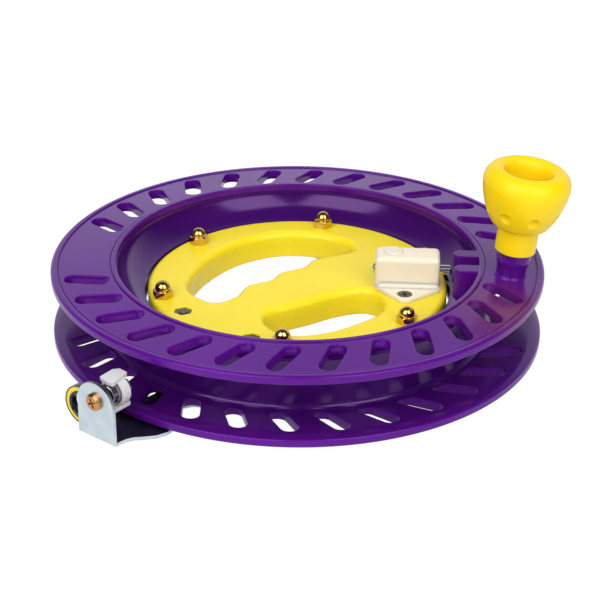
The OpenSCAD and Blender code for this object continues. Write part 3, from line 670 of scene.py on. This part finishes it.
@dataclass
class Flange:
    """One slotted flange moulding, its bead crest at z = 0 and the drum below it."""

    outer: float = 110.0
    rim_wide: float = 3.8
    lip: float = 81.0
    lip_wide: float = 3.0
    web: float = 4.6
    root: float = 88.0
    bead: float = 0.45
    groove: float = 0.45
    dish: float = 1.5
    lip_rise: float = 0.6
    spigot_wide: float = 1.5
    spigot_depth: float = 1.4
    slot_ring: float = 95.0
    slot_length: float = 20.4
    slot_width: float = 7.6
    slot_over: float = 0.55
    slot_under: float = 0.3
    skew: float = 27.0
    sectors: int = 30
    plain: tuple[int, ...] = (0, 14, 15, 29)
    arc_steps: int = 12
    side_steps: int = 14

    @property
    def inner_edge(self) -> float:
        """Radius where the flat web begins."""
        return self.lip + self.lip_wide

    @property
    def outer_edge(self) -> float:
        """Radius where the flat web ends."""
        return self.outer - self.rim_wide

    @property
    def pitch(self) -> float:
        """Angle of one sector."""
        return 360.0 / self.sectors

    def face(self, radius: Array | float) -> Array | float:
        """Height of the upper face, which rises evenly by the dish from the rim to the lip."""
        span = self.outer_edge - self.inner_edge
        return self.dish * (self.outer_edge - radius) / span - self.bead

    def under(self, radius: Array | float) -> Array | float:
        """Height of the underside, a web below the face and level inside the drum's root."""
        return self.face(np.maximum(radius, self.root)) - self.web

    def lip_ring(self) -> Skin:
        """The lip: from the web over a groove and a crest, down the inner wall and back under."""
        e, g, seat = self.inner_edge, self.face(self.inner_edge), -self.spigot_depth
        low, crest, step = g - self.groove, g + self.lip_rise, self.lip + self.spigot_wide
        return revolved(softened(
            [(e, g), (e - 0.12, g), (e - 0.25, low), (e - 0.6, low), (e - 0.85, crest),
             (self.lip, crest), (self.lip, seat), (step, seat), (step, self.under(e)),
             (e, self.under(e))], [0.1, 0.1, 0.13, 0.15, 0.6, 0.95, 0.2, 0.2, 0.2, 0.1]))

    def rim_ring(self) -> Skin:
        """The rim: from the web over a groove and a bead, round the edge and under to the web."""
        e, o, b, low = self.outer_edge, self.outer, -self.bead, self.under(self.outer_edge)
        deep = b - self.groove
        return revolved(softened(
            [(e, b), (e + 0.12, b), (e + 0.25, deep), (e + 0.7, deep), (e + 1.0, 0.0),
             (o - 0.9, 0.0), (o, -0.7), (o, low + 1.4), (o - 1.3, low + 0.75), (e, low)],
            [0.1, 0.1, 0.13, 0.15, 0.5, 0.8, 0.8, 0.8, 0.8, 0.1]))

    def sector_steps(self) -> tuple[Array, Array]:
        """Angles across one sector, and radii along its side."""
        half = math.radians(self.pitch / 2)
        return (np.linspace(-half, half, self.arc_steps + 1),
                np.linspace(self.inner_edge, self.outer_edge, self.side_steps + 1))

    def sector_edge(self) -> Array:
        """Counter-clockwise outline of one sector of the web, round a slot at angle 0."""
        arc, side = self.sector_steps()
        r = np.concatenate([np.full(len(arc), side[-1]), side[::-1][1:],
                            np.full(self.arc_steps, side[0]), side[1:-1]])
        a = np.concatenate([arc, np.full(self.side_steps, arc[-1]), arc[::-1][1:],
                            np.full(self.side_steps - 1, arc[0])])
        return np.c_[r * np.cos(a), r * np.sin(a)]

    def slotted_sector(self) -> Skin:
        """Web of one sector: from its outline underneath in to the slot, up the slot's wall
        over rounded edges, and out to the outline on top, in straight lines between the two."""
        edge = self.sector_edge()
        centre = np.array([self.slot_ring, 0.0])
        slot = capsule(self.slot_length, self.slot_width, len(edge))
        slot = slot @ turn_z(-self.skew)[:2, :2].T + centre
        away = np.arctan2(*(edge - centre).T[::-1]) + math.radians(self.skew)
        edge = np.roll(edge, -int(np.argmin(np.abs(np.angle(np.exp(1j * away))))), 0)
        n, u, share = outward(slot), quarter_turn(4), (1.0, 0.6, 0.3, 0.1)
        rt, rb = self.slot_over, self.slot_under
        under, over = slot + n * (rb + FLAT_HOLD), slot + n * (rt + FLAT_HOLD)
        below = [*(under + (edge - under) * k for k in share), under,
                 *(slot + n * g for g in rb * (1 - np.cos(u[::-1])))]
        above = [*(slot + n * g for g in rt * (1 - np.cos(u))), over,
                 *(over + (edge - over) * k for k in share[::-1])]
        level = np.zeros(len(share) + 1)
        lift = np.concatenate([level, rb * (1 - np.sin(u[::-1]))])[:, None]
        drop = np.concatenate([rt * (1 - np.sin(u)), level])[:, None]
        xy = np.stack(below + above)
        r = np.linalg.norm(xy, axis=2)
        z = np.concatenate([self.under(r[:len(below)]) + lift, self.face(r[len(below):]) - drop])
        return sheet(np.concatenate([xy, z[..., None]], -1), wrap=True)

    def plain_sector(self) -> Skin:
        """Both faces of a sector without a slot, as grids of arcs."""
        arc, side = self.sector_steps()
        r = side[:, None]
        return joined([turned(r, z, arc, wrap=False) for z in (self.face(r), self.under(r))])

    def skin(self, crest: float, turn: Turn) -> Skin:
        """The whole moulding.

        Args:
            crest: height of its bead.
            turn: upright, or turned over about the x axis.
        Returns:
            The closed surface.
        """
        slotted, blank = self.slotted_sector(), self.plain_sector()
        sectors = [(blank if k in self.plain else slotted).moved(turn_z(self.pitch * (k + 0.5)))
                   for k in range(self.sectors)]
        flip = np.diag([1.0, float(turn.value), float(turn.value)])
        return joined([self.lip_ring(), self.rim_ring(), *sectors]).moved(flip, (0, 0, crest))


@dataclass
class KnobPost:
    """The leaning post that the winding knob turns on."""

    angle: float = -6.0
    lean: float = 6.0
    ring: float = 95.0
    base: float = 17.707
    foot_r: float = 6.5
    collar_r: float = 7.75
    height: float = 11.9
    spindle_r: float = 4.0
    spindle: float = 26.4
    columns: int = 96

    def placed(self, skin: Skin) -> Skin:
        """A skin drawn along z, set on the post's own axis."""
        lean = skin.moved(turn_y(self.lean), (self.ring, 0, self.base))
        return lean.moved(turn_z(self.angle))

    def skin(self) -> Skin:
        """Foot flare, shank, collar and spindle as one profile round the axis."""
        f, c, h, top = self.foot_r, self.collar_r, self.height, self.height + self.spindle
        line = softened(
            [(f + 1.2, -0.9), (f + 0.8, 0.1), (f + 0.1, 1.0), (f + 0.2, h - 7.0),
             (c - 0.1, h - 4.2), (c - 0.25, h), (self.spindle_r, h), (self.spindle_r, top),
             (0.0, top)], [0.1, 0.5, 1.2, 1.3, 1.3, 0.45, 0.1, 0.3, 0.1])
        return self.placed(revolved(line, self.columns))


@dataclass
class Drum:
    """The drum with its fillets, bowl, race and the two stop ribs."""

    outer: float = 85.0
    fillet: float = 3.0
    ledge: float = 80.6
    shelf: float = 68.8
    shelf_h: float = 4.75
    race: float = 69.9
    race_h: float = RACE_HALF
    spigot: float = 82.45
    bowl_power: float = 1.65
    top: float = 13.58
    bottom: float = -11.68
    seat_top: float = 16.0
    seat_bottom: float = -14.1
    rib_in: float = 69.6
    rib_out: float = 81.4
    rib_w: float = 7.3
    notch: float = 8.0
    rib_low: float = 3.95
    rib_high: float = 18.8

    def barrel(self) -> Skin:
        """Closed profile round the axis: the bowl is a quarter superellipse, ledge to shelf."""
        u, v = quarter_turn(40), quarter_turn(8)
        power = 2 / self.bowl_power
        out = self.shelf + (self.ledge - self.shelf) * np.cos(u).clip(0) ** power
        drop = np.sin(u) ** power
        upper = np.c_[out, self.seat_top - (self.seat_top - self.shelf_h) * drop]
        lower = np.c_[out, self.seat_bottom - (self.seat_bottom + self.shelf_h) * drop]
        near, far, h, r = self.shelf, self.race, self.shelf_h, self.race_h
        race = softened([(near, h), (near, r), (far, r), (far, -r), (near, -r), (near, -h)], 0.25)
        f, root, ledge, seat = self.fillet, self.outer + self.fillet, self.ledge + 0.25, self.spigot
        line = np.concatenate([
            [(ledge, self.seat_top)], upper[:-1], race, lower[::-1][1:],
            [(ledge, self.seat_bottom), (seat, self.seat_bottom), (seat, self.bottom)],
            np.c_[root - f * np.sin(v), self.bottom + f - f * np.cos(v)],
            np.c_[root - f * np.sin(v[::-1]), self.top - f + f * np.cos(v[::-1])],
            [(seat, self.top), (seat, self.seat_top)]])
        return revolved(line, closed=True)

    def ribs(self) -> Skin:
        """The two stop ribs, bars with a round inner end and a softened top edge."""
        r, o, middle = self.rib_w / 2, self.rib_out, (self.notch + self.rib_w) / 2
        a = np.linspace(np.pi / 2, 3 * np.pi / 2, 33)
        plans = [np.concatenate([
            np.c_[self.rib_in + r + r * np.cos(a), y + r * np.sin(a)],
            [(o - 0.4, y - r), (o, y - r), (o, y + r), (o - 0.4, y + r)]])
            for y in (-middle, middle)]
        return joined([slab(plan, self.rib_low, self.rib_high, Edge(0.5, 0.1)) for plan in plans])


@dataclass
class WindingKnob:
    """The yellow knob: neck, dimpled bell head and thumb recess."""

    post: KnobPost
    radius: float = 19.1
    height: float = 38.5
    neck: float = 9.0
    neck_h: float = 11.55
    bore: float = 4.06
    floor: float = 26.0
    gap: float = 0.3
    dimples: int = 8
    dimple_r: float = 3.0
    dimple_h: float = 19.0
    dimple_at: float = 21.0
    columns: int = 288

    def profile(self) -> Array:
        """Foot, neck, bell, crown and recess, and back down the bore, as (radius, height)."""
        r, h, n, f, c = self.radius, self.height, self.neck, self.floor, self.neck_h
        head = flowing([
            (n + 0.9, c), (r * 0.62, 12.3), (r * 0.695, 13.9), (r * 0.765, 16.2),
            (r * 0.85, 19.8), (r * 0.92, 23.6), (r * 0.97, 27.4), (r * 0.995, h - 8.2),
            (r, h - 6.6), (r * 0.99, h - 5), (r * 0.955, h - 3.2), (r * 0.89, h - 1.5),
            (r * 0.81, h - 0.5), (r * 0.72, h), (r * 0.63, h - 0.4), (r * 0.56, h - 1.4),
            (r * 0.525, h - 2.8), (r * 0.505, h - 5), (r * 0.49, f + 1.6), (r * 0.47, f + 0.4),
            (r * 0.43, f)], 6, closed=False)
        foot = softened([(self.bore, 0), (n, 0), (n, c - 0.1), (n + 0.55, c - 0.1), (n + 0.9, c)],
                        [0.1, 0.5, 0.25, 0.15, 0.1])
        return np.concatenate([foot[:-1], head, [(self.bore, f), (self.bore, 0.0)]])

    def skin(self) -> Skin:
        """The profile round the axis, moved in to the sphere wherever it is inside a dimple's."""
        line, angle, step = self.profile(), whole_turn(self.columns), 360.0 / self.dimples
        r, z = line[:, :1], line[:, 1:]
        near = np.mod(np.degrees(angle) - self.dimple_at + step / 2, step) - step / 2
        centre = self.radius * 0.83 + 1.7
        side, along = centre * np.sin(np.radians(near)), centre * np.cos(np.radians(near))
        room = self.dimple_r ** 2 - side ** 2 - (z - self.dimple_h) ** 2
        inward = along - np.sqrt(np.maximum(room, 0.0))
        bell = (z > 11.5) & (r > self.radius * 0.6) & (z < self.height - 9)
        knob = turned(np.where((room > 0) & bell & (inward < r), inward, r), z, angle)
        return self.post.placed(knob.moved(np.eye(3), (0, 0, self.post.height + self.gap)))


@dataclass
class PalmDisc:
    """The two yellow plates of the palm disc with the hand openings."""

    radius: float = 67.3
    top: float = PALM_TOP
    rim_round: float = 2.2
    grip: float = 3.2
    finger_round: float = 0.7
    bearing_ring: float = BEARING_RING
    pocket: float = 8.7
    race_h: float = RACE_HALF
    guide_angle: float = 234.5
    nut_at: tuple[float, float] = (55.3, 19.45)
    nut_af: float = 7.3
    nut_seat: float = 2.65
    nut_round: float = 0.25
    columns: int = 720

    def openings(self) -> list[Array]:
        """Outlines of the two hand openings, each a flowing line through given points."""
        upper = [(-48, -9.5), (-36.8, -22.6), (-27.4, -17), (-22.5, -5), (-12.8, 1.5),
                 (-8.8, 9.6), (1, 16), (5.6, 24.4), (14.4, 29.6), (22.8, 34.8), (20.6, 44.3),
                 (5.5, 51.3), (-14, 50.2), (-32.5, 36.6), (-45.5, 12.5)]
        lower = [(-12.3, -34.5), (-10.6, -42.6), (-3.8, -50.4), (4, -51.5), (12.6, -48.9),
                 (20.9, -44.2), (29.3, -37), (36.9, -28.8), (39.4, -20), (37.3, -11),
                 (31.5, -6.8), (24.2, -8.2), (15.4, -13), (6.8, -19.5), (-1.8, -25),
                 (-9.2, -29.6)]
        return [flowing(upper, 24), flowing(lower, 24)]

    def nut_pockets(self) -> list[Array]:
        """Outlines of the two hexagonal nut recesses."""
        hexagon = circle(self.nut_af / math.sqrt(3), 6) @ turn_z(30.0)[:2, :2].T
        turn, (x, y) = turn_z(self.guide_angle)[:2, :2], self.nut_at
        return [softened(hexagon + [x, k * y], 0.35, 3, closed=True) @ turn.T for k in (-1, 1)]

    def rim_columns(self) -> Array:
        """Radius of the wall near the parting plane: a pocket's near side where a bearing is."""
        a = whole_turn(self.columns)[:, None] - np.radians(BEARING_ANGLES)[None]
        off = np.min(np.abs(np.angle(np.exp(1j * a))), axis=1)
        side = self.bearing_ring * np.sin(off)
        room = self.pocket ** 2 - side ** 2
        inside = self.bearing_ring * np.cos(off) - np.sqrt(np.maximum(room, 0))
        return np.where(room > 0, np.minimum(inside, self.radius), self.radius)

    def skin(self, turn: Turn) -> Skin:
        """One plate.

        The rim is a profile at each angle: pocket wall, ledge, outer wall and a rounded
        top edge; the faces are flat with the openings' walls rounded into the palm side.

        Args:
            turn: upright for the upper plate, over for the lower one.
        Returns:
            The closed surface.
        """
        pocket, flat, top = self.rim_columns(), np.full(self.columns, self.radius), self.top
        u, soft, ledge = quarter_turn(7), self.rim_round, self.race_h
        radius = np.stack([pocket, pocket, flat, *(flat - soft * (1 - np.cos(k)) for k in u),
                           flat - soft - 0.1])
        z = np.array([0.0, ledge, ledge, *(top - soft + soft * np.sin(u)), top])
        wall = turned(radius, z[:, None], whole_turn(self.columns))
        loops = wall.points.reshape(len(z), -1, 3)[..., :2]
        below, above, parts = [loops[0]], [loops[-1]], [wall]
        grip = self.grip if turn is Turn.UPRIGHT else self.finger_round
        for line in self.openings():
            hole, over = opening(line, 0.0, top, grip, 10)
            parts.append(hole)
            below.append(line)
            above.append(over)
        if turn is Turn.UPRIGHT:
            for line in self.nut_pockets():
                hole, over = opening(line, self.nut_seat, top, self.nut_round, 3)
                parts += [hole, flat_fill([line], self.nut_seat)]
                above.append(over)
        whole = joined([*parts, flat_fill(above, top), flat_fill(below, 0.0)])
        return whole.moved(np.diag([1.0, 1.0, float(turn.value)]))


@dataclass
class AcornNuts:
    """Six domed nuts on the bearing bolts, each turned as its tightening left it."""

    flats: float = 8.0
    hex_h: float = 3.35
    height: float = 7.4
    collar: float = 0.6
    seat: float = PALM_TOP
    ring: float = BEARING_RING
    turns: tuple[float, ...] = (8.0, -14.0, 21.0, 3.0, -9.0, 17.0)
    sharpness: int = 36
    columns: int = 144

    def one(self) -> Skin:
        """A soft hexagon, the high power mean of its flats, cut by chamfer cones under a dome."""
        a, half, h = whole_turn(self.columns), self.flats / 2, self.hex_h
        flats = np.maximum(np.cos(a[:, None] - np.radians(60.0 * np.arange(6))[None]), 0)
        hexed = np.sum(flats ** self.sharpness, 1) ** (-1 / self.sharpness) * self.flats / 2
        z = np.array([0.0, 0.04, 0.1, 0.32, 0.58, 0.74, 0.82, 0.88, 0.93, 0.97, 1.0]) * h
        chamfer = np.minimum(self.flats / math.sqrt(3) + 0.25 - (0.4 - z) * (z < 0.4),
                             half + 0.12 + (h - z) * 1.15)
        dome_r, u = self.height - h - self.collar, quarter_turn(14)
        dome = np.concatenate([[half - 0.1, dome_r + 0.18, dome_r - 0.05, dome_r],
                               dome_r * np.cos(u)[1:]])
        dome_z = np.concatenate([h + np.array([0.02, 0.06, 0.2, self.collar]),
                                 h + self.collar + dome_r * np.sin(u)[1:]])
        rr = np.concatenate([np.zeros((1, self.columns)), np.minimum(hexed, chamfer[:, None]),
                             np.repeat(dome[:, None], self.columns, 1)])
        return turned(rr, np.concatenate([[0.0], z, dome_z])[:, None], a)

    def skin(self) -> Skin:
        """All six."""
        nut = self.one()
        return joined([nut.moved(turn_z(turn), (self.ring, 0, self.seat)).moved(turn_z(angle))
                       for turn, angle in zip(self.turns, BEARING_ANGLES)])


@dataclass
class LockBlock:
    """The ivory lock housing on its pointed foot."""

    x0: float = 34.5
    x1: float = 64.0
    seat: float = PALM_TOP
    foot: float = 2.0
    height: float = 15.6
    half: float = 6.9
    corner: float = 2.4
    crown: float = 2.3
    tip_x: float = 48.3
    tip_y: float = 20.4
    cove: float = 2.2
    boss: tuple[float, float, float] = (42.7, 1.2, 4.3)
    boss_h: float = 0.6
    screw_y: float = 14.2
    screw_r: float = 2.0
    sink_r: float = 3.45
    hole_columns: int = 48

    def foot_plate(self) -> Skin:
        """The pointed foot with its two countersunk holes, open at their lower ends."""
        t, y, points, top = self.tip_x, self.tip_y - 0.7, self.hole_columns, self.seat + self.foot
        plan = softened(
            [(self.x0, -5.5), (t - 1.6, -y), (t + 1.8, -y), (self.x1, -8), (self.x1, 8),
             (t + 1.8, y), (t - 1.6, y), (self.x0, 5.5)],
            [0.8, 1.6, 1.6, 0.8, 0.8, 1.6, 1.6, 0.8], 6, closed=True)
        wall, low, high = rim(plan, self.seat, top, Edge(0.6, 0.15))
        shanks, mouths = ([circle(r, points, (t, k * self.screw_y)) for k in (-1, 1)]
                          for r in (self.screw_r, self.sink_r))
        neck = top - (self.sink_r - self.screw_r) - 0.3
        parts = [wall, flat_fill([low, *shanks], self.seat), flat_fill([high, *mouths], top)]
        for shank, mouth in zip(shanks, mouths):
            rings = [np.c_[line, np.full(points, z)] for line, z in
                     ((shank, self.seat), (shank, neck), (mouth, top - 0.1), (mouth, top))]
            parts.append(sheet(np.stack(rings), wrap=True))
        return joined(parts)

    def plan(self, start: float, end: float, half: float) -> Array:
        """Outline of the house from start to end along x, with rounded corners."""
        corners = [(start, -half), (end, -half), (end, half), (start, half)]
        return softened(corners, self.corner, 10, closed=True)

    def cove_ring(self) -> Skin:
        """The hollow quarter round from the foot up to the house, closed below and above."""
        u, top = quarter_turn(8), self.seat + self.foot
        rings = [np.c_[line, np.full(len(line), z)] for line, z in zip(
            (self.plan(self.x0 + 1.5, self.x1 - 0.6, self.half + out)
             for out in self.cove * (1 - np.sin(u))), top + self.cove * (1 - np.cos(u)))]
        ends = [flat_fill([ring[:, :2]], ring[0, 2]) for ring in (rings[0], rings[-1])]
        return joined([sheet(np.stack(rings), wrap=True), *ends])

    def skin(self) -> Skin:
        """A rounded foot plate, a rounded box on it and a low round boss on top."""
        roof = self.seat + self.height
        x, y, r = self.boss
        house = slab(self.plan(self.x0 + 0.4, self.x1 - 0.4, self.half),
                     self.seat + self.foot - 1.0, roof, Edge(self.crown, 0.1, 10))
        boss = slab(circle(r, 64, (x, y)), roof - 1.0, roof + self.boss_h, Edge(0.55, 0.1, 6))
        return joined([self.foot_plate(), house, self.cove_ring(), boss])


# ------------ stage


@dataclass
class SoftBox:
    """A rectangular lamp: where it stands and what it points at in metres, and its power."""

    name: str
    place: Point
    size: tuple[float, float]
    watts: float
    aim: Point = (0.0, 0.0, 0.6)

    def build(self) -> None:
        """Add the lamp."""
        data = bpy.data.lights.new(self.name, "AREA")
        data.shape = "RECTANGLE"
        data.size, data.size_y = self.size
        data.energy = self.watts
        lamp = added(self.name, data)
        lamp.location = self.place
        lamp.rotation_mode = "QUATERNION"
        lamp.rotation_quaternion = (Vector(self.place) - Vector(self.aim)).to_track_quat("Z", "Y")


@dataclass
class Studio:
    """Floor, lamps, surroundings and camera."""

    floor_z: float = -19.1
    floor_half: float = 1.6
    floor_grey: float = 0.86
    floor_white: float = 1.04
    floor_share: float = 0.94
    floor_gloss: float = 0.4
    camera_place: Point = (0.0413056, -0.7229559, 0.3577922)
    camera_turn: tuple[float, ...] = (0.8509171638, 0.5245345615, 0.0109950200, 0.0261263018)
    lens: float = 104.9412
    sensor: float = 36.0
    lamps: tuple[SoftBox, ...] = (
        SoftBox("left_box", (-0.51, -0.86, 0.95), (1.06, 1.4), 13.3),
        SoftBox("right_box", (0.63, -0.78, 0.95), (0.8, 1.4), 10.0))

    def floor(self) -> None:
        """A pale floor that keeps a soft shadow and looks white to the camera."""
        grid = np.array([(-1, -1), (1, -1), (1, 1), (-1, 1)], float) * self.floor_half
        mesh = bpy.data.meshes.new("floor")
        mesh.from_pydata(np.c_[grid, np.full(4, self.floor_z * MM)].tolist(), [], [(0, 1, 2, 3)])
        s = Shader(bpy.data.materials.new("floor"))
        camera, glossy, clear = s.rays("Camera", "Glossy", "Transmission")
        seen = camera.larger(glossy * self.floor_gloss).larger(clear)
        plain = s.value("ShaderNodeBsdfDiffuse", None, {"Color": (*[self.floor_grey] * 3, 1)})
        white = s.value("ShaderNodeEmission", None,
                        {"Color": (1, 1, 1, 1), "Strength": self.floor_white})
        s.surface(s.value("ShaderNodeMixShader", None,
                          {0: seen * self.floor_share, 1: plain, 2: white}))
        mesh.materials.append(s.owner)
        added("floor", mesh)

    def surroundings(self) -> None:
        """A white room, dimmer on the camera's side, and plain white to the camera."""
        bpy.context.scene.world = bpy.data.worlds.new("studio")
        s = Shader(bpy.context.scene.world)
        _, back, up = s.split(s.value("ShaderNodeTexCoord", None, None, "Generated"))
        light = 0.14 + back.above(-0.25, 0.7) * 0.2 + up.above(0.3, 0.95) * 0.45
        mirrored = 0.06 + back.above(0.3, 0.8) * (1 - up.above(0.25, 0.95) * 0.75) * 0.9
        seen, glossy = s.rays("Camera", "Glossy")
        strength = (light * (1 - glossy) + mirrored * glossy) * (1 - seen) + seen
        s.surface(s.value("ShaderNodeBackground", None,
                          {"Color": (1, 1, 1, 1), "Strength": strength}), "World")

    def camera(self) -> None:
        """The camera that the pictures are taken with."""
        data = bpy.data.cameras.new("camera")
        data.lens, data.sensor_width = self.lens, self.sensor
        data.clip_start, data.clip_end = 0.01, 20.0
        made = added("camera", data)
        made.location = self.camera_place
        made.rotation_mode = "QUATERNION"
        made.rotation_quaternion = Quaternion(self.camera_turn)
        bpy.context.scene.camera = made

    def build(self) -> None:
        """Everything that isn't the object."""
        self.floor()
        self.surroundings()
        for lamp in self.lamps:
            lamp.build()
        self.camera()
        bpy.context.scene.view_settings.view_transform = "Standard"


# ------------ main


UPPER_CREST = 17.4
LOWER_CREST = -15.5

NODE_FINISHES: Mapping[Finish, Sequence[str]] = {
    BRIGHT: ["knob_washer", "knob_screw", "lock_pin"],
    ZINC: ["axle_bolts", "guide_bracket", "guide_nut"],
    BALL_STEEL: ["bearing_inner_rings", "bearing_balls", "detent_ball", "detent_spring",
                 *(f"bearing_outer_{i}" for i in range(1, 7))],
    DARK: ["block_screws", "bracket_screws", "bracket_nuts", "eyelet_frame"],
    COPPER: ["guide_screw"],
    ROLLER: ["guide_roller"],
    MILK: ["guide_clip"],
    RING_YELLOW: ["eyelet_ring"],
    GLAZE: ["eyelet_insert"]}


def make_pieces(shop: Workshop) -> None:
    """Make each piece, with its finish and body, in place of its node."""
    flange, post, drum, disc = Flange(), KnobPost(), Drum(), PalmDisc()
    upper, lower = flange.skin(UPPER_CREST, Turn.UPRIGHT), flange.skin(LOWER_CREST, Turn.OVER)
    reel, knob = ("reel", "reel_plastic"), ("knob", "knob_plastic")
    grip, nut, block = ("grip", "grip_plastic"), ("grip", "gold_nut"), ("grip", "ivory_nylon")
    pieces = [
        ("upper_flange_skin", upper, UPPER_REEL, reel, "upper_flange"),
        ("knob_post", post.skin(), REEL, reel, "upper_flange"),
        ("lower_flange_skin", lower, LOWER_REEL, reel, "lower_flange"),
        ("drum_skin", drum.barrel(), SHADED_DRUM, reel, "drum"),
        ("stop_ribs", drum.ribs(), REEL, reel, "drum"),
        ("winding_knob_skin", WindingKnob(post).skin(), KNOB, knob, "winding_knob"),
        ("upper_plate_skin", disc.skin(Turn.UPRIGHT), DISC, grip, "upper_palm_plate"),
        ("lower_plate_skin", disc.skin(Turn.OVER), DISC, grip, "lower_palm_plate"),
        ("acorn_nut_skins", AcornNuts().skin(), GOLD, nut, "acorn_nuts"),
        ("lock_block_skin", LockBlock().skin(), IVORY, block, "lock_block")]
    for name, skin, finish, place, node in pieces:
        shop.piece(name, skin, finish, *place, node)


def main() -> None:
    """Build the stage and the pieces in order."""
    logging.basicConfig(level=logging.INFO, format="%(name)s: %(message)s")
    Studio().build()
    shop = Workshop()
    make_pieces(shop)
    for finish, nodes in NODE_FINISHES.items():
        for node in nodes:
            shop.dress(node, finish)


if __name__ == "__main__":
    main()
